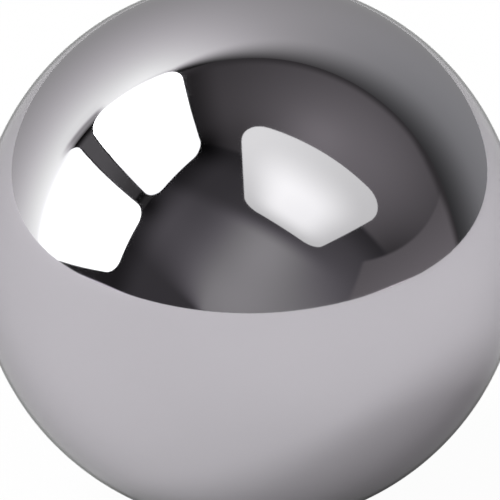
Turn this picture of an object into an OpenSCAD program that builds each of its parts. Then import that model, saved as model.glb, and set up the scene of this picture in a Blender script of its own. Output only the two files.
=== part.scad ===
// Polished steel ball
//
// A solid ball, ground and lapped to a true sphere, with no flat, bore or parting line.
// The origin is at the ball's centre and +Z is up.

/* [Ball] */
// Diameter of the ball (25.4 is the 1 inch size)
ball_d = 25.4; // [3:0.1:60]

/* [Hidden] */
// Facets round the ball's waist, which only a mesh of it shows
ball_facets = 180;

// The whole ball is one true sphere about the origin
module ball() {
    color("silver")
        sphere(d = ball_d, $fn = ball_facets);
}

ball();
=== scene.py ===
import math
from collections import namedtuple

import bmesh
import bpy
from bpy.props import FloatProperty, FloatVectorProperty, IntProperty, PointerProperty
from mathutils import Matrix, Vector


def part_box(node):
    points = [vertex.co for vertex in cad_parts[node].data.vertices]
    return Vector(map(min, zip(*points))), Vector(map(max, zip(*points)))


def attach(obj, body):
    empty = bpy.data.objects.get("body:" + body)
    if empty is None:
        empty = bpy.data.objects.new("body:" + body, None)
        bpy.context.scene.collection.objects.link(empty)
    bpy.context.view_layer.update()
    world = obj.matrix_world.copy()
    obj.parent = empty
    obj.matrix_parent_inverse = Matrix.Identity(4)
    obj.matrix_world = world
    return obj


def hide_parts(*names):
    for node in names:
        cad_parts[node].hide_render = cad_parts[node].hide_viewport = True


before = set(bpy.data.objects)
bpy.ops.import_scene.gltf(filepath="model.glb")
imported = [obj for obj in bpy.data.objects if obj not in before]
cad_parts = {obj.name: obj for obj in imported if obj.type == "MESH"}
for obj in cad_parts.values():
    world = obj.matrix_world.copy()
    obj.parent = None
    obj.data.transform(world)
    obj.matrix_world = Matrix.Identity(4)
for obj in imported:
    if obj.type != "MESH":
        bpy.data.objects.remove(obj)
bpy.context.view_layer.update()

bl_info = {
    "name": "Polished Steel Ball",
    "version": (1, 0, 0),
    "blender": (4, 5, 0),
    "location": "View3D > Sidebar > Steel Ball",
    "description": "Makes a lapped and polished steel ball, and the studio that its surface mirrors",
    "category": "Add Mesh",
}

FRAME_PX = 500
BALL_NODE = "ball"
BODY = "root"
FINISH_SLOT = "polished_steel"

# The slant, from 0 straight on to 1 edge on, over which the steel's gloss falls off. At an even blend, it
# is 1 less the cosine of the angle.
SLANT_BLEND = 0.5
OUTLINE_START = 0.82
OUTLINE_END = 0.94

# The size, in metres, and the detail of three clouds: the steel's haze, the waves that lapping leaves,
# and the grain on them. The haze goes from least to most over its range, and the grain's height is a
# share of the waves'.
HAZE_CLOUD = (0.006, 3.0)
LAP_CLOUD = (0.0022, 2.0)
GRAIN_CLOUD = (0.00012, 1.0)
HAZE_RANGE = (0.3, 0.7)
GRAIN_SHARE = 0.04

# ---------------------------------------------------------------------------------------------
# Directions. An azimuth is 0 towards the camera and grows to the right, seen from the camera.
# An elevation is 0 at the horizon and 90 straight up. Both are in degrees.
# ---------------------------------------------------------------------------------------------


def direction(azimuth, elevation):
    """The unit vector from the ball to that point of the room."""
    turn, rise = math.radians(azimuth), math.radians(elevation)
    return Vector((math.sin(turn) * math.cos(rise), -math.cos(turn) * math.cos(rise), math.sin(rise)))


def plane_axes(azimuth, elevation, roll):
    """The axes of a plane that faces the ball: along its width, along its height, and away."""
    away = direction(azimuth, elevation)
    level = Vector((math.cos(math.radians(azimuth)), math.sin(math.radians(azimuth)), 0))
    upright = away.cross(level)
    tilt = math.radians(roll)
    across = level * math.cos(tilt) + upright * math.sin(tilt)
    along = upright * math.cos(tilt) - level * math.sin(tilt)
    return across, along, away


# ---------------------------------------------------------------------------------------------
# The studio that the ball mirrors. Lamp sizes are shares of the lamp's distance from the ball.
# Levels are linear, and a level of 1 is white.
# ---------------------------------------------------------------------------------------------

Facing = namedtuple("Facing", "azimuth elevation roll")
Softbox = namedtuple("Softbox", "name facing centre half_size corners")
Glow = namedtuple("Glow", "azimuth elevation spread level")
Edge = namedtuple("Edge", "azimuth elevation width")
Bay = namedtuple("Bay", "azimuth spread dip")
Surface = namedtuple("Surface", "base glows shade tint")

# The two side lamps are a pair: alike, side by side, and facing almost the same way. A lamp's corner
# radii go counter-clockwise from its upper right corner.
LOWER_LAMP = Softbox(
    "lower_lamp", Facing(-97.7, 30.1, 14.1), (0.341, -0.3146), (0.495, 0.3192), (0.136, 0.100, 0.155, 0.136)
)
UPPER_LAMP = Softbox(
    "upper_lamp", Facing(-97.15, 32.56, 13.66), (0.3083, 0.3961), (0.4967, 0.3274),
    (0.138, 0.130, 0.135, 0.137),
)
TOP_LAMP = Softbox(
    "top_lamp", Facing(108.7, 54.6, 67.3), (0.023, 1.400), (0.719, 0.821), (0.270, 0.270, 0.270, 0.270)
)

# A side lamp gives two shares of its level, the first on its left and the second on its right. The span
# is where one goes over into the other, from -1 at its left edge to 1 at its right edge. Up to the left
# end, it fades in from a level of its own. A black panel behind the lamp shows as a frame round it, but
# not on its left, and more narrowly in the gap.
SIDE_LAMP_TINT = (0.983, 1.029, 0.988)
LOWER_LAMP_SHARES = (0.81, 1.19)
LOWER_LAMP_SPAN = (-1.0, 1.0)
UPPER_LAMP_SHARES = (2.44, 0.557)
UPPER_LAMP_SPAN = (-1.0, 0.1)
SIDE_LAMP_LEFT_LEVEL = 1.78
SIDE_LAMP_LEFT_END = -0.88
FRAME_SETBACK = 1.01
FRAME_WIDTH = 0.017
FRAME_GAP_WIDTH = 0.008
FRAME_LEFT_INSET = 0.02

# The lamp overhead is brightest in its middle. One of its corners is brighter than the others. Places on
# its face go from -1 to 1, across and along it.
TOP_LAMP_TINT = (0.991, 1.027, 0.982)
TOP_LAMP_MIDDLE = (-0.057, 0.078)
TOP_LAMP_SQUARENESS = 3.2
TOP_LAMP_PLATEAU = 0.25
TOP_LAMP_FALL = 0.75
TOP_LAMP_RIM = 0.60
TOP_LAMP_CORNER = (1, -1)
TOP_LAMP_CORNER_SHARE = 0.225
TOP_LAMP_CORNER_REACH = 2.37

# A dark board closes the gap of the pair. Its face glows with painted light, which dims towards its right
# end. It has a slit on its left, and a black trim near its right end.
# Its places are measured in one plane for the whole pair, and so are those of the crescent and of the
# pair's right and top.
PAIR_FACING = Facing(-98.3, 32.2, 14.7)
BOARD_SETBACK = 1.02
BOARD_MIDDLE = 0.034
BOARD_HALF_HEIGHT = 0.08
BOARD_CORNER = 0.005
BOARD_LEFT = -0.129
BOARD_SLIT_START = -0.118
BOARD_SLIT_END = -0.055
BOARD_FADE_START = 0.15
BOARD_TRIM_START = 0.665
BOARD_TRIM_START_FADE = 0.02
BOARD_TRIM_END = 0.70
BOARD_TRIM_END_FADE = 0.05
BOARD_RIGHT = 0.80
# The painted light of the board's face, before and after it dims
BOARD_LEVEL = 0.143
BOARD_FADED_LEVEL = 0.055
BOARD_SLIT_LEVEL = 0.01
BOARD_END_LEVEL = 0.03

# The backdrop is grey in a narrow crescent beside the slit, with a faint shade next to the crescent
CRESCENT_SPAN = (-0.218, -0.178)
CRESCENT_SHADE = 0.59
CRESCENT_SIDE_SPAN = (-0.29, -0.21)
CRESCENT_SIDE_SHADE = 0.11
CRESCENT_TOP_SPAN = (0.13, 0.215)
CRESCENT_BOTTOM_SPAN = (0.02, 0.17)

# The backdrop stands behind the ball, and runs round to its left. Its edge overhead is straight, and
# its end on the right is upright. It is dark along its edge, and brightens away from it. The start and
# the width of that, in degrees, are each given for the middle, with what the far right adds and the far
# left takes off.
BACKDROP = Surface(
    0.62,
    (Glow(-50, 13, 26, 5.78), Glow(-79, 58, 25, 1.46), Glow(-123, 52, 5.5, 0.17)),
    Glow(64, 15, 45, 1.0),
    (1.000, 1.006, 0.994),
)
BACKDROP_GLOW_TINT = (0.988, 1.033, 0.979)
BACKDROP_GLOW_LEVELS = (0.7, 1.6)
BACKDROP_RIGHT_TINT = (0.977, 1.012, 1.011)
BACKDROP_RIGHT_SPAN = (0.1, 0.8)
BACKDROP_EDGE = (183.9, -19.4)
BACKDROP_END = (186.6, 0)
BACKDROP_CORNER = 3.0
BACKDROP_EDGE_LEVEL = 0.02
BACKDROP_EDGE_START = (2.4, 10.0)
BACKDROP_EDGE_WIDTH = (13.0, 26.0)
BACKDROP_EDGE_LEAST_WIDTH = 3.0

# The room has a dark line along the backdrop, which is wider on the right
ROOM_EDGE_LEVEL = 0.058
ROOM_EDGE_WIDTH = 4.4
ROOM_EDGE_START = 1.3
ROOM_EDGE_START_SPAN = (0.8, 0.92)
ROOM_EDGE_START_RISE = (9.0, 18.0)

# The ceiling reaches from the backdrop to overhead. It has painted shade towards the low wall, and in a
# small spot near its front edge.
CEILING = Surface(
    0.051, (Glow(61, 61, 8, 0.07), Glow(69, 49, 28, 0.20)), Glow(58, -5, 15, 1.0), (1.021, 0.976, 1.004)
)
CEILING_EDGE = Edge(154.8, 25.2, 2.5)
CEILING_SHADE_SPOT = Glow(-13, 65, 9, 0.40)

# The front of the room is behind the camera. It is dark under the ceiling's edge and low on the left.
# Its two high glows end at a straight edge.
FRONT = Surface(
    0.056, (Glow(-12, 4.6, 14.5, 0.238), Glow(12.7, -8.2, 21.2, 0.226)), None, (1.0, 0.968, 1.032)
)
FRONT_HIGH_GLOWS = (Glow(8.7, 27.6, 12.1, 0.28), Glow(-57, 27, 15.4, 0.222))
FRONT_HIGH_EDGE = Edge(-43.2, -45.4, 8)
FRONT_DARK_LEVEL = 0.066
FRONT_DARK_EDGE = (80, 57.2)
FRONT_DARK_START = 6.7
FRONT_DARK_WIDTH = (2.8, 1.08)
FRONT_GLOW_TINT = (1.0, 1.004, 0.996)
FRONT_GLOW_LEVELS = (0.12, 0.35)
EAVES_SHADE = 0.39
EAVES_WIDTH = 11.7

# The room is darker close to the pair of side lamps, in the shade of their housings, and darkest in two
# spots
PAIR_RIGHT = 0.84
PAIR_TOP = 0.728
PAIR_SHADE = 0.62
PAIR_SHADE_WIDTH = 12.5
PAIR_SPOTS = (Glow(-52, 34, 4, 0.75), Glow(-39, 63, 4, 0.7))

# A paler wall stands low down, on the right, below a round opening
LOW_WALL = Surface(0.08, (Glow(81, -60, 36, 0.56),), None, (1.025, 0.976, 0.999))
LOW_WALL_OPENING = (64.4, 64.7)
LOW_WALL_OPENING_RADIUS = 53.4
LOW_WALL_OPENING_WIDTH = 1.3
LOW_WALL_SIDE = Edge(129.8, -33.5, 2.2)

# The floor's paper curls up a little, to either side of the front. A curl's height, in degrees, is its
# glow less the sink, so that it runs out level with the floor's edge. It fades out as its glow falls from
# the second of its ends to the first.
CURLS = (Glow(-61.3, 0, 8.9, 0.90), Glow(60, 0, 9.3, 0.735))
CURL_SINK = 0.45
CURL_LEVEL = 1.0
CURL_SOFTNESS = 0.1
CURL_ENDS = (0.02, 0.05)

# The floor ends close by in front of the ball and behind it, in two bays, and far off elsewhere. A dip is
# how many degrees its edge lies under the horizon, seen from the dip height over it, in radii.
BAYS = (Bay(-1, 37.5, 0.97), Bay(172, 44, 0.97))
FAR_DIP = 0.10
DIP_HEIGHT = 1.2
FLOOR_CORNERS = 120

CAMERA_CLIP = (0.001, 100)
MM_PER_METRE = 1000

# ---------------------------------------------------------------------------------------------
# Nodes
# ---------------------------------------------------------------------------------------------


class Wire:
    """An output socket that arithmetic can be written on: each operator adds its Math node."""

    def __init__(self, sheet, socket):
        self.sheet = sheet
        self.socket = socket

    def math(self, operation, first, second=0.0, third=0.0):
        inputs = {"Value": first, "Value_001": second, "Value_002": third}
        return self.sheet.node("ShaderNodeMath", {"operation": operation}, inputs, "Value")

    def __add__(self, other):
        return self.math("ADD", self, other)

    def __radd__(self, other):
        return self.math("ADD", other, self)

    def __sub__(self, other):
        return self.math("SUBTRACT", self, other)

    def __rsub__(self, other):
        return self.math("SUBTRACT", other, self)

    def __mul__(self, other):
        return self.math("MULTIPLY", self, other)

    def __rmul__(self, other):
        return self.math("MULTIPLY", other, self)

    def __truediv__(self, other):
        return self.math("DIVIDE", self, other)

    def __neg__(self):
        return self.math("MULTIPLY", self, -1.0)

    def power(self, exponent):
        return self.math("POWER", self, exponent)


class Sheet:
    """A node tree that nodes are drawn on."""

    def __init__(self, tree):
        self.tree = tree
        tree.nodes.clear()

    def node(self, kind, settings=None, inputs=None, output=None):
        """Adds a node, sets it up, fills its sockets, and gives one of its outputs, or the node."""
        made = self.tree.nodes.new(kind)
        for name, value in (settings or {}).items():
            setattr(made, name, value)
        sockets = {socket.identifier: socket for socket in made.inputs}
        for identifier, value in (inputs or {}).items():
            if isinstance(value, Wire):
                self.tree.links.new(value.socket, sockets[identifier])
            else:
                sockets[identifier].default_value = value
        return made if output is None else self.out(made, output)

    def out(self, made, identifier):
        """One output of a node, as a wire."""
        return Wire(self, next(s for s in made.outputs if s.identifier == identifier))

    def vector(self, operation, inputs, output="Vector"):
        return self.node("ShaderNodeVectorMath", {"operation": operation}, inputs, output)

    def smooth(self, value, low, high):
        """0 below low, 1 above high, and a soft step between them."""
        inputs = {"Value": value, "From Min": low, "From Max": high}
        return self.node("ShaderNodeMapRange", {"interpolation_type": "SMOOTHSTEP"}, inputs, "Result")

    def blend(self, factor, first, second):
        """A number that goes from first to second as the factor goes from 0 to 1."""
        inputs = {"Factor_Float": factor, "A_Float": first, "B_Float": second}
        return self.node("ShaderNodeMix", {"data_type": "FLOAT"}, inputs, "Result_Float")

    def blend_colour(self, factor, first, second):
        """A colour that goes from first to second as the factor goes from 0 to 1."""
        inputs = {"Factor_Float": factor, "A_Color": first, "B_Color": second}
        return self.node("ShaderNodeMix", {"data_type": "RGBA"}, inputs, "Result_Color")


# ---------------------------------------------------------------------------------------------
# The ball
# ---------------------------------------------------------------------------------------------


def ball_tree():
    """A cube of even cells, each vertex moved out to the sphere. The tangent evens the cells out."""
    tree = bpy.data.node_groups.new("ball_from_cube", "GeometryNodeTree")
    sheet = Sheet(tree)
    tree.interface.new_socket("Ball", in_out="OUTPUT", socket_type="NodeSocketGeometry")
    sockets = {
        name: tree.interface.new_socket(name, in_out="INPUT", socket_type=kind).identifier
        for name, kind in (
            ("Diameter", "NodeSocketFloat"),
            ("Cells per Edge", "NodeSocketInt"),
            ("Material", "NodeSocketMaterial"),
        )
    }
    given = sheet.node("NodeGroupInput")
    diameter, cells, material = (sheet.out(given, sockets[name]) for name in sockets)
    corners = cells + 1
    cube_inputs = {"Size": (2, 2, 2), "Vertices X": corners, "Vertices Y": corners, "Vertices Z": corners}
    cube = sheet.node("GeometryNodeMeshCube", None, cube_inputs, "Mesh")
    place = sheet.node("GeometryNodeInputPosition", output="Position")
    angle = sheet.vector("SCALE", {"Vector": place, "Scale": math.pi / 4})
    even = sheet.vector("TANGENT", {"Vector": angle})
    outward = sheet.vector("NORMALIZE", {"Vector": even})
    on_sphere = sheet.vector("SCALE", {"Vector": outward, "Scale": diameter * 0.5})
    round_mesh = sheet.node(
        "GeometryNodeSetPosition", None, {"Geometry": cube, "Position": on_sphere}, "Geometry"
    )
    smooth_mesh = sheet.node("GeometryNodeSetShadeSmooth", None, {"Geometry": round_mesh}, "Geometry")
    real_mesh = sheet.node("GeometryNodeRealizeInstances", None, {"Geometry": smooth_mesh}, "Geometry")
    finished = sheet.node(
        "GeometryNodeSetMaterial", None, {"Geometry": real_mesh, "Material": material}, "Geometry"
    )
    sheet.tree.links.new(finished.socket, sheet.node("NodeGroupOutput").inputs[0])
    return tree, sockets


def polished_steel(settings):
    """Lapped, polished bearing steel: a mirror, with a trace of haze and of the lap's waviness."""
    material = bpy.data.materials.new(FINISH_SLOT)
    material.use_nodes = True
    sheet = Sheet(material.node_tree)
    place = sheet.node("ShaderNodeTexCoord", output="Object")

    def cloud(size, detail):
        inputs = {"Vector": place, "Scale": 1 / size, "Detail": detail}
        return sheet.node("ShaderNodeTexNoise", None, inputs, "Fac")

    haze = cloud(*HAZE_CLOUD)
    lap = cloud(*LAP_CLOUD)
    grain = cloud(*GRAIN_CLOUD)
    tone = sheet.smooth(haze, *HAZE_RANGE)
    base = Vector(settings.colour)
    shift = settings.cloudiness
    colour = sheet.blend_colour(tone, (*(base * (1 - shift)), 1), (*(base * (1 + shift)), 1))
    roughness = settings.roughness * (1 - settings.haze) + tone * (2 * settings.haze * settings.roughness)
    height = lap + grain * GRAIN_SHARE
    normal = sheet.node(
        "ShaderNodeBump", None, {"Strength": 1.0, "Distance": settings.waviness, "Height": height}, "Normal"
    )

    def mirror(rim):
        """Bare metal whose reflection is scaled, at a steep slant, by the given share."""
        inputs = {
            "Base Color": colour,
            "Metallic": 1.0,
            "Roughness": roughness,
            "Specular Tint": (rim, rim, rim, 1),
            "Normal": normal,
        }
        return sheet.node("ShaderNodeBsdfPrincipled", None, inputs, "BSDF")

    slant = sheet.node("ShaderNodeLayerWeight", None, {"Blend": SLANT_BLEND}, "Facing")
    outline = sheet.smooth(slant, OUTLINE_START, OUTLINE_END)
    inputs = {"Fac": outline, "Shader": mirror(settings.rim), "Shader_001": mirror(settings.outline)}
    steel = sheet.node("ShaderNodeMixShader", None, inputs, "Shader")
    sheet.node("ShaderNodeOutputMaterial", None, {"Surface": steel})
    return material


def make_ball(context, settings, steel):
    """The ball as one plain mesh, at the origin, in place of its CAD solid."""
    tree, sockets = ball_tree()
    holder = bpy.data.objects.new("ball_holder", bpy.data.meshes.new("ball_holder"))
    context.scene.collection.objects.link(holder)
    rounding = holder.modifiers.new("ball_from_cube", "NODES")
    rounding.node_group = tree
    rounding[sockets["Diameter"]] = settings.diameter
    rounding[sockets["Cells per Edge"]] = settings.cells
    rounding[sockets["Material"]] = polished_steel(steel)
    depsgraph = context.evaluated_depsgraph_get()
    mesh = bpy.data.meshes.new_from_object(holder.evaluated_get(depsgraph), depsgraph=depsgraph)
    bpy.data.objects.remove(holder)
    mesh.name = "steel_ball"
    ball = bpy.data.objects.new("steel_ball", mesh)
    context.scene.collection.objects.link(ball)
    if not mesh.polygons or not mesh.materials:
        raise RuntimeError("the ball's mesh came out empty or without its steel")
    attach(ball, BODY)
    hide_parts(BALL_NODE)
    return ball


# ---------------------------------------------------------------------------------------------
# The studio
# ---------------------------------------------------------------------------------------------


def room_material(settings):
    """The room's backdrop, ceiling and walls, as light that depends on the direction alone."""
    world = bpy.data.worlds.new("studio_room")
    world.use_nodes = True
    sheet = Sheet(world.node_tree)
    look = sheet.node("ShaderNodeTexCoord", output="Generated")

    def along_axis(axis):
        """The cosine of the angle to a direction."""
        return sheet.vector("DOT_PRODUCT", {"Vector": look, "Vector_001": axis}, "Value")

    def glow(spot):
        """A round glow about a direction, which fades with its spread in degrees."""
        cosine = along_axis(direction(spot.azimuth, spot.elevation))
        fall = (cosine - 1) * (1 / math.radians(spot.spread) ** 2)
        return fall.math("EXPONENT", fall) * spot.level

    def past(edge):
        """0 to 1 across a straight edge, given by the direction that it faces."""
        half = math.sin(math.radians(edge.width / 2))
        return sheet.smooth(along_axis(direction(edge.azimuth, edge.elevation)), -half, half)

    def lit(surface):
        """A surface's level, before its shade."""
        return sum((glow(spot) for spot in surface.glows), surface.base)

    def angle_past(axis):
        """The angle, in degrees, by which a direction lies past the edge that an axis faces."""
        cosine = along_axis(axis)
        return cosine.math("ARCSINE", cosine) * math.degrees(1)

    # Distances from the edges
    over_edge = angle_past(direction(*BACKDROP_EDGE))
    behind = over_edge.math("SMOOTH_MIN", over_edge, angle_past(direction(*BACKDROP_END)), BACKDROP_CORNER)
    under_eaves = -angle_past(direction(CEILING_EDGE.azimuth, CEILING_EDGE.elevation))
    half_width = CEILING_EDGE.width / 2
    overhead = 1 - sheet.smooth(under_eaves, -half_width, half_width)

    # Ceiling and front
    # Painted shade darkens the ceiling towards the low wall, and in a small spot near its front edge.
    ceiling = lit(CEILING) * (1 - glow(CEILING.shade)) * (1 - glow(CEILING_SHADE_SPOT))
    high = sum((glow(spot) for spot in FRONT_HIGH_GLOWS), 0.0) * past(FRONT_HIGH_EDGE)
    dark_edge = angle_past(direction(*FRONT_DARK_EDGE)) + FRONT_DARK_START
    rise = angle_past(direction(0, 90))
    dark_width = rise.math("MAXIMUM", rise, 0.0) * FRONT_DARK_WIDTH[1] + FRONT_DARK_WIDTH[0]
    front = sheet.blend(sheet.smooth(dark_edge / dark_width, 0.0, 1.0), FRONT_DARK_LEVEL, lit(FRONT) + high)
    bright = sheet.smooth(front, *FRONT_GLOW_LEVELS)
    front = front * (1 - EAVES_SHADE * (1 - sheet.smooth(under_eaves, 0.0, EAVES_WIDTH)))
    room = sheet.blend(overhead, front, ceiling)

    # The shade beside the pair of lamps
    across, along, away = plane_axes(*PAIR_FACING)
    shade_width = math.sin(math.radians(PAIR_SHADE_WIDTH))
    beside = along_axis((across - away * PAIR_RIGHT).normalized())
    above = along_axis((along - away * PAIR_TOP).normalized())
    clear = sheet.smooth(beside.math("MAXIMUM", beside, above), 0.0, shade_width)
    room = room * (1 - PAIR_SHADE * (1 - clear))
    for spot in PAIR_SPOTS:
        room = room * (1 - glow(spot))

    # The low wall
    to_opening = along_axis(direction(*LOW_WALL_OPENING))
    outer = math.cos(math.radians(LOW_WALL_OPENING_RADIUS + LOW_WALL_OPENING_WIDTH / 2))
    inner = math.cos(math.radians(LOW_WALL_OPENING_RADIUS - LOW_WALL_OPENING_WIDTH / 2))
    on_wall = (1 - sheet.smooth(to_opening, outer, inner)) * past(LOW_WALL_SIDE)
    room = sheet.blend(on_wall, room, lit(LOW_WALL))

    # The dark line along the backdrop, which is wider on the right
    sideways = sheet.out(sheet.node("ShaderNodeSeparateXYZ", None, {"Vector": look}), "X")
    wide = sheet.smooth(sideways, *ROOM_EDGE_START_SPAN) * sheet.smooth(rise, *ROOM_EDGE_START_RISE)
    line = behind + wide * ROOM_EDGE_START
    room = sheet.blend(sheet.smooth(-line, 0.0, ROOM_EDGE_WIDTH), ROOM_EDGE_LEVEL, room)

    curl = sum((glow(spot) for spot in CURLS), 0.0)
    top = curl - CURL_SINK
    on_curl = sheet.smooth(top - rise, -CURL_SOFTNESS, CURL_SOFTNESS) * sheet.smooth(curl, *CURL_ENDS)
    room = sheet.blend(on_curl, room, CURL_LEVEL)

    # The backdrop brightens more slowly on the right
    backdrop = lit(BACKDROP) * (1 - glow(BACKDROP.shade))
    start = sideways * BACKDROP_EDGE_START[1] + BACKDROP_EDGE_START[0]
    width = sideways * BACKDROP_EDGE_WIDTH[1] + BACKDROP_EDGE_WIDTH[0]
    width = width.math("MAXIMUM", width, BACKDROP_EDGE_LEAST_WIDTH)
    backdrop = backdrop * sheet.smooth((behind + start) / width, 0.0, 1.0) + BACKDROP_EDGE_LEVEL

    # The backdrop's light is darker in a crescent beside the slit
    depth = along_axis(away)
    aside, upward = along_axis(across) / depth, along_axis(along) / depth
    crescent = sheet.smooth(aside, *CRESCENT_SPAN) * CRESCENT_SHADE + sheet.smooth(aside, *CRESCENT_SIDE_SPAN) * CRESCENT_SIDE_SHADE
    crescent = crescent * (1 - sheet.smooth(upward, *CRESCENT_TOP_SPAN)) * (1 - sheet.smooth(-upward, *CRESCENT_BOTTOM_SPAN))
    facing_pair = depth.math("GREATER_THAN", depth, 0.0)
    backdrop = backdrop * (1 - crescent * facing_pair)

    on_backdrop = behind.math("GREATER_THAN", behind, 0.0)
    level = sheet.blend(on_backdrop, room, backdrop) * settings.room_level

    tint = sheet.blend_colour(bright, (*FRONT.tint, 1), (*FRONT_GLOW_TINT, 1))
    tint = sheet.blend_colour(overhead, tint, (*CEILING.tint, 1))
    tint = sheet.blend_colour(on_wall, tint, (*LOW_WALL.tint, 1))
    rightward = sheet.smooth(sideways, *BACKDROP_RIGHT_SPAN)
    backdrop_tint = sheet.blend_colour(rightward, (*BACKDROP.tint, 1), (*BACKDROP_RIGHT_TINT, 1))
    pale = sheet.smooth(backdrop, *BACKDROP_GLOW_LEVELS)
    backdrop_tint = sheet.blend_colour(pale, backdrop_tint, (*BACKDROP_GLOW_TINT, 1))
    tint = sheet.blend_colour(on_backdrop, tint, backdrop_tint)
    light = sheet.vector("SCALE", {"Vector": tint, "Scale": level})
    seen = sheet.out(sheet.node("ShaderNodeLightPath"), "Is Camera Ray")
    colour = sheet.blend_colour(seen, light, (1, 1, 1, 1))
    sky = sheet.node("ShaderNodeBackground", None, {"Color": colour, "Strength": 1.0}, "Background")
    sheet.node("ShaderNodeOutputWorld", None, {"Surface": sky})
    return world


def rounded_outline(half_width, half_height, corners, steps=10):
    """The outline of a rounded rectangle, counter-clockwise from its upper right corner."""
    points = []
    for quarter, corner in enumerate(corners):
        side, end = ((1, 1), (-1, 1), (-1, -1), (1, -1))[quarter]
        centre = Vector((side * (half_width - corner), end * (half_height - corner)))
        for step in range(steps + 1):
            turn = math.pi / 2 * (quarter + step / steps)
            points.append(centre + corner * Vector((math.cos(turn), math.sin(turn))))
    return points


def flat_panel(context, name, outline, facing, centre, distance, material):
    """A flat stage panel that faces the ball, with its middle at the object's own origin."""
    mesh = bpy.data.meshes.new(name)
    shape = bmesh.new()
    shape.faces.new([shape.verts.new((x * distance, y * distance, 0)) for x, y in outline])
    shape.to_mesh(mesh)
    shape.free()
    mesh.materials.append(material)
    panel = bpy.data.objects.new(name, mesh)
    across, along, away = plane_axes(*facing)
    middle = (away + across * centre[0] + along * centre[1]) * distance
    turn = Matrix((across, along, away)).transposed()
    panel.matrix_world = Matrix.Translation(middle) @ turn.to_4x4()
    panel.visible_camera = False
    context.scene.collection.objects.link(panel)
    return panel


def glowing(name, shade):
    """A material that only gives light. shade(sheet) gives its colour and its strength."""
    material = bpy.data.materials.new(name)
    material.use_nodes = True
    sheet = Sheet(material.node_tree)
    colour, strength = shade(sheet)
    light = sheet.node("ShaderNodeEmission", None, {"Color": colour, "Strength": strength}, "Emission")
    sheet.node("ShaderNodeOutputMaterial", None, {"Surface": light})
    return material


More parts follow.
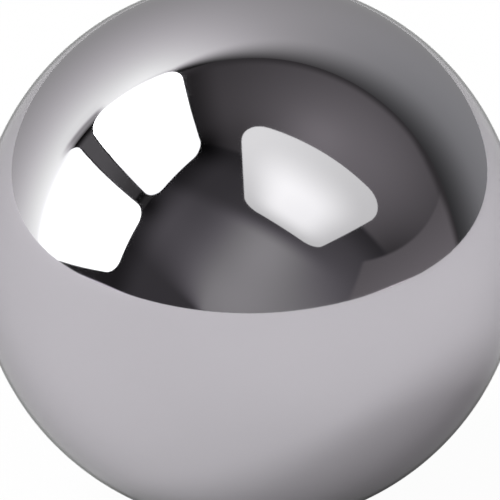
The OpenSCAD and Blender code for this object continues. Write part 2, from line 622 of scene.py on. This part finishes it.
def make_lamps(context, settings):
    """The two side lamps, the board between them and the lamp overhead."""
    distance = settings.lamp_distance
    white = (1, 1, 1, 1)
    frame_face = glowing("lamp_frame", lambda sheet: (white, 0.0))

    def softbox(lamp, shade):
        """A lamp's glowing face."""
        outline = rounded_outline(*lamp.half_size, lamp.corners)
        material = glowing(lamp.name + "_light", shade)
        flat_panel(context, lamp.name, outline, lamp.facing, lamp.centre, distance, material)

    def side_lamp(lamp, level, shares, span):
        """A lamp of the pair, with its frame."""

        def face(sheet):
            place = sheet.node("ShaderNodeTexCoord", output="Object")
            parts = sheet.node("ShaderNodeSeparateXYZ", None, {"Vector": place})
            aside = sheet.out(parts, "X") * (1 / (lamp.half_size[0] * distance))
            own_level = sheet.blend(sheet.smooth(aside, *span), *shares) * level
            inside = sheet.smooth(aside, -1.0, SIDE_LAMP_LEFT_END)
            return (*SIDE_LAMP_TINT, 1), sheet.blend(inside, SIDE_LAMP_LEFT_LEVEL, own_level)

        softbox(lamp, face)
        wider = (FRAME_WIDTH - FRAME_GAP_WIDTH) / 2
        half_width = lamp.half_size[0] + (FRAME_WIDTH - FRAME_LEFT_INSET) / 2
        half_height = lamp.half_size[1] + (FRAME_WIDTH + FRAME_GAP_WIDTH) / 2
        outline = rounded_outline(half_width, half_height, [corner + wider for corner in lamp.corners])
        to_right = (FRAME_WIDTH + FRAME_LEFT_INSET) / 2
        centre = (lamp.centre[0] + to_right, lamp.centre[1] + math.copysign(wider, lamp.centre[1]))
        reach = distance * FRAME_SETBACK
        flat_panel(context, lamp.name + "_frame", outline, lamp.facing, centre, reach, frame_face)

    side_lamp(LOWER_LAMP, settings.lower_lamp, LOWER_LAMP_SHARES, LOWER_LAMP_SPAN)
    side_lamp(UPPER_LAMP, settings.upper_lamp, UPPER_LAMP_SHARES, UPPER_LAMP_SPAN)

    def hot_centre(sheet):
        place = sheet.node("ShaderNodeTexCoord", output="Object")
        half = Vector((*TOP_LAMP.half_size, 1)) * distance
        face = sheet.vector("DIVIDE", {"Vector": place, "Vector_001": half})
        moved = sheet.vector("SUBTRACT", {"Vector": face, "Vector_001": (*TOP_LAMP_MIDDLE, 0)})
        off = sheet.vector("ABSOLUTE", {"Vector": moved})
        parts = sheet.node("ShaderNodeSeparateXYZ", None, {"Vector": off})
        wide, high = (sheet.out(parts, axis).power(TOP_LAMP_SQUARENESS) for axis in "XY")
        off_middle = (wide + high).power(1 / TOP_LAMP_SQUARENESS)
        heart = 1 - sheet.smooth(off_middle, TOP_LAMP_PLATEAU, TOP_LAMP_PLATEAU + TOP_LAMP_FALL)
        inputs = {"Vector": face, "Vector_001": (*TOP_LAMP_CORNER, 0)}
        off_corner = sheet.vector("DISTANCE", inputs, "Value")
        corner = 1 - sheet.smooth(off_corner, 0.0, TOP_LAMP_CORNER_REACH)
        share = TOP_LAMP_RIM + (1 - TOP_LAMP_RIM) * heart + TOP_LAMP_CORNER_SHARE * corner
        return (*TOP_LAMP_TINT, 1), settings.top_lamp * share

    softbox(TOP_LAMP, hot_centre)

    reach = distance * BOARD_SETBACK
    centre = ((BOARD_LEFT + BOARD_RIGHT) / 2, BOARD_MIDDLE)

    # The board's face is painted light: its level dims towards the right, with a dark slit and a black
    # trim.
    def board_painted_light(sheet):
        place = sheet.node("ShaderNodeTexCoord", output="Object")
        parts = sheet.node("ShaderNodeSeparateXYZ", None, {"Vector": place})
        across = sheet.out(parts, "X") * (1 / reach) + centre[0]
        fade = sheet.smooth(across, BOARD_FADE_START, BOARD_TRIM_START)
        flat = sheet.blend(fade, BOARD_LEVEL, BOARD_FADED_LEVEL)
        flat = flat * sheet.smooth(across, BOARD_SLIT_START, BOARD_SLIT_END)
        flat = flat * (1 - sheet.smooth(across, BOARD_TRIM_START - BOARD_TRIM_START_FADE, BOARD_TRIM_START))
        end = sheet.smooth(across, BOARD_TRIM_END, BOARD_TRIM_END + BOARD_TRIM_END_FADE)
        flat = flat + end * BOARD_END_LEVEL
        return white, flat + BOARD_SLIT_LEVEL

    half_width = (BOARD_RIGHT - BOARD_LEFT) / 2
    outline = rounded_outline(half_width, BOARD_HALF_HEIGHT, 4 * (BOARD_CORNER,))
    board = glowing("board_face", board_painted_light)
    flat_panel(context, "gap_board", outline, PAIR_FACING, centre, reach, board)


def floor_reach(azimuth, settings, radius):
    """How far the floor goes, so that the ball mirrors its edge just under the horizon."""
    dip = FAR_DIP
    for bay in BAYS:
        off = (azimuth - bay.azimuth + 180) % 360 - 180
        dip += bay.dip * math.exp(-((off / bay.spread) ** 2))
    return min(DIP_HEIGHT * radius / math.tan(math.radians(dip)), settings.floor_radius)


def make_floor(context, settings, radius):
    """A wide pale floor that the ball stands on."""
    mesh = bpy.data.meshes.new("floor")
    shape = bmesh.new()
    corners = []
    for corner in range(FLOOR_CORNERS):
        azimuth = 360 * corner / FLOOR_CORNERS
        out = direction(azimuth, 0) * floor_reach(azimuth, settings, radius)
        corners.append(shape.verts.new((out.x, out.y, -radius)))
    shape.faces.new(corners)
    shape.to_mesh(mesh)
    shape.free()
    floor = bpy.data.objects.new("floor", mesh)
    context.scene.collection.objects.link(floor)

    material = bpy.data.materials.new("pale_floor")
    material.use_nodes = True
    sheet = Sheet(material.node_tree)
    ray = sheet.node("ShaderNodeLightPath")
    camera = sheet.out(ray, "Is Camera Ray")
    mirror = sheet.out(ray, "Is Glossy Ray") + sheet.out(ray, "Is Transmission Ray")
    paint = sheet.node("ShaderNodeBsdfDiffuse", None, {"Color": (*settings.floor_colour, 1)}, "BSDF")
    lit = sheet.node("ShaderNodeEmission", None, {"Color": (1, 1, 1, 1), "Strength": 1.0}, "Emission")
    share = camera * settings.floor_lift + mirror * settings.floor_mirror_lift
    inputs = {"Fac": share, "Shader": paint, "Shader_001": lit}
    both = sheet.node("ShaderNodeMixShader", None, inputs, "Shader")
    sheet.node("ShaderNodeOutputMaterial", None, {"Surface": both})
    mesh.materials.append(material)
    return floor


def make_camera(context, settings, radius):
    """The camera stands in front of the ball and looks down at its middle."""
    data = bpy.data.cameras.new("camera")
    data.sensor_width = settings.sensor * MM_PER_METRE
    reach = settings.distance
    seen_radius = 1 / math.sqrt(reach ** 2 - 1)
    data.lens = data.sensor_width * settings.outline_radius / FRAME_PX / seen_radius
    middle = (FRAME_PX - 1) / 2
    data.shift_x = (middle - settings.outline_centre[0]) / FRAME_PX
    data.shift_y = (settings.outline_centre[1] - middle) / FRAME_PX
    data.clip_start, data.clip_end = CAMERA_CLIP
    camera = bpy.data.objects.new("camera", data)
    back = direction(0, math.degrees(settings.elevation))
    camera.location = back * radius * reach
    camera.rotation_mode = "QUATERNION"
    camera.rotation_quaternion = (-back).to_track_quat("-Z", "Y")
    context.scene.collection.objects.link(camera)
    context.scene.camera = camera
    return camera


# ---------------------------------------------------------------------------------------------
# Settings, operators and panel
# ---------------------------------------------------------------------------------------------


def cad_diameter():
    """The ball's diameter, in metres, from its CAD solid."""
    low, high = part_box(BALL_NODE)
    return max(high - low)


class BallSettings(bpy.types.PropertyGroup):
    diameter: FloatProperty(
        name="Diameter", description="Diameter of the ball", default=cad_diameter(),
        min=0.003, max=0.06, precision=5, unit="LENGTH",
    )
    cells: IntProperty(
        name="Cells per Edge", description="Mesh cells along each edge of the cube that is rounded",
        default=96, min=8, max=128,
    )


class SteelSettings(bpy.types.PropertyGroup):
    colour: FloatVectorProperty(
        name="Colour", description="What the polished steel reflects, straight on",
        default=(0.504, 0.480, 0.516), min=0, max=1, subtype="COLOR",
    )
    rim: FloatProperty(
        name="Rim", description="How much the steel reflects near its outline, against bare metal",
        default=0.65, min=0, max=1, subtype="FACTOR",
    )
    outline: FloatProperty(
        name="Outline", description="How much the steel reflects right at its outline, against bare metal",
        default=0.14, min=0, max=1, subtype="FACTOR",
    )
    roughness: FloatProperty(
        name="Roughness", description="Blur of the mirror", default=0.03, min=0, max=1, subtype="FACTOR",
    )
    haze: FloatProperty(
        name="Haze", description="Share by which the blur varies over the ball",
        default=0.3, min=0, max=1, subtype="FACTOR",
    )
    cloudiness: FloatProperty(
        name="Cloudiness", description="Share by which the colour varies over the ball",
        default=0.01, min=0, max=0.2, subtype="FACTOR",
    )
    waviness: FloatProperty(
        name="Waviness", description="Height of the waves that lapping leaves",
        default=0.0000002, min=0, max=0.0001, precision=7, unit="LENGTH",
    )


class StudioSettings(bpy.types.PropertyGroup):
    floor_colour: FloatVectorProperty(
        name="Floor Colour", description="Colour of the floor", default=(0.985, 0.958, 0.985),
        min=0, max=1, subtype="COLOR",
    )
    floor_radius: FloatProperty(
        name="Floor Radius", description="Radius of the floor", default=40.0, min=0.1, unit="LENGTH",
    )
    floor_lift: FloatProperty(
        name="Floor Lift", description="How far the camera sees the floor as plain white",
        default=0.965, min=0, max=1, subtype="FACTOR",
    )
    floor_mirror_lift: FloatProperty(
        name="Mirrored Floor Lift", description="How far metal and glass see the floor as plain white",
        default=0.04, min=0, max=1, subtype="FACTOR",
    )
    lamp_distance: FloatProperty(
        name="Lamp Distance", description="Distance from the ball to the plane of each lamp",
        default=12.0, min=1, unit="LENGTH",
    )
    lower_lamp: FloatProperty(
        name="Lower Lamp", description="Level of the lower side lamp", default=2.97, min=0,
    )
    upper_lamp: FloatProperty(
        name="Upper Lamp", description="Level of the upper side lamp", default=4.12, min=0,
    )
    top_lamp: FloatProperty(
        name="Top Lamp", description="Level at the middle of the lamp overhead", default=1.68, min=0,
    )
    room_level: FloatProperty(
        name="Room", description="Level of the backdrop, ceiling and walls", default=1.0, min=0,
    )


class CameraSettings(bpy.types.PropertyGroup):
    elevation: FloatProperty(
        name="Elevation", description="Angle at which the camera looks down",
        default=math.radians(23.6), min=0, max=math.pi / 2, subtype="ANGLE", unit="ROTATION",
    )
    distance: FloatProperty(
        name="Distance", description="Distance of the camera, in radii of the ball", default=9.0, min=1.5,
    )
    sensor: FloatProperty(
        name="Sensor", description="Width of the camera's sensor", default=0.036, min=0.001, unit="LENGTH",
    )
    outline_radius: FloatProperty(
        name="Outline Radius", description="Radius of the ball's outline, in pixels of the frame",
        default=274.05, min=1,
    )
    outline_centre: FloatVectorProperty(
        name="Outline Centre", description="Middle of the ball's outline, in pixels from the top left",
        default=(248.66, 251.28), size=2,
    )


class STEELBALL_OT_ball(bpy.types.Operator):
    """Make the polished ball"""

    bl_idname = "steel_ball.make_ball"
    bl_label = "Make Ball"

    def execute(self, context):
        scene = context.scene
        make_ball(context, scene.ball_settings, scene.steel_settings)
        return {"FINISHED"}


class STEELBALL_OT_studio(bpy.types.Operator):
    """Make the floor, the lamps, the room's light and the camera"""

    bl_idname = "steel_ball.make_studio"
    bl_label = "Make Studio"

    def execute(self, context):
        scene = context.scene
        radius = scene.ball_settings.diameter / 2
        scene.view_settings.view_transform = "Standard"
        scene.cycles.caustics_reflective = False
        scene.world = room_material(scene.studio_settings)
        make_floor(context, scene.studio_settings, radius)
        make_lamps(context, scene.studio_settings)
        make_camera(context, scene.camera_settings, radius)
        return {"FINISHED"}


class STEELBALL_PT_panel(bpy.types.Panel):
    """The ball's settings, and the buttons that make it"""

    bl_label = "Steel Ball"
    bl_space_type = "VIEW_3D"
    bl_region_type = "UI"
    bl_category = "Steel Ball"

    def draw(self, context):
        scene = context.scene
        for title, group in (
            ("Ball", scene.ball_settings),
            ("Steel", scene.steel_settings),
            ("Studio", scene.studio_settings),
            ("Camera", scene.camera_settings),
        ):
            box = self.layout.box()
            box.label(text=title)
            for name in group.__annotations__:
                box.prop(group, name)
        self.layout.operator(STEELBALL_OT_ball.bl_idname)
        self.layout.operator(STEELBALL_OT_studio.bl_idname)


SETTINGS = {
    "ball_settings": BallSettings,
    "steel_settings": SteelSettings,
    "studio_settings": StudioSettings,
    "camera_settings": CameraSettings,
}
CLASSES = (*SETTINGS.values(), STEELBALL_OT_ball, STEELBALL_OT_studio, STEELBALL_PT_panel)


def register():
    for made in CLASSES:
        bpy.utils.register_class(made)
    for name, group in SETTINGS.items():
        setattr(bpy.types.Scene, name, PointerProperty(type=group))


def unregister():
    for name in SETTINGS:
        delattr(bpy.types.Scene, name)
    for made in reversed(CLASSES):
        bpy.utils.unregister_class(made)


def main():
    """Makes everything."""
    register()
    bpy.ops.steel_ball.make_ball()
    bpy.ops.steel_ball.make_studio()


if __name__ == "__main__":
    main()
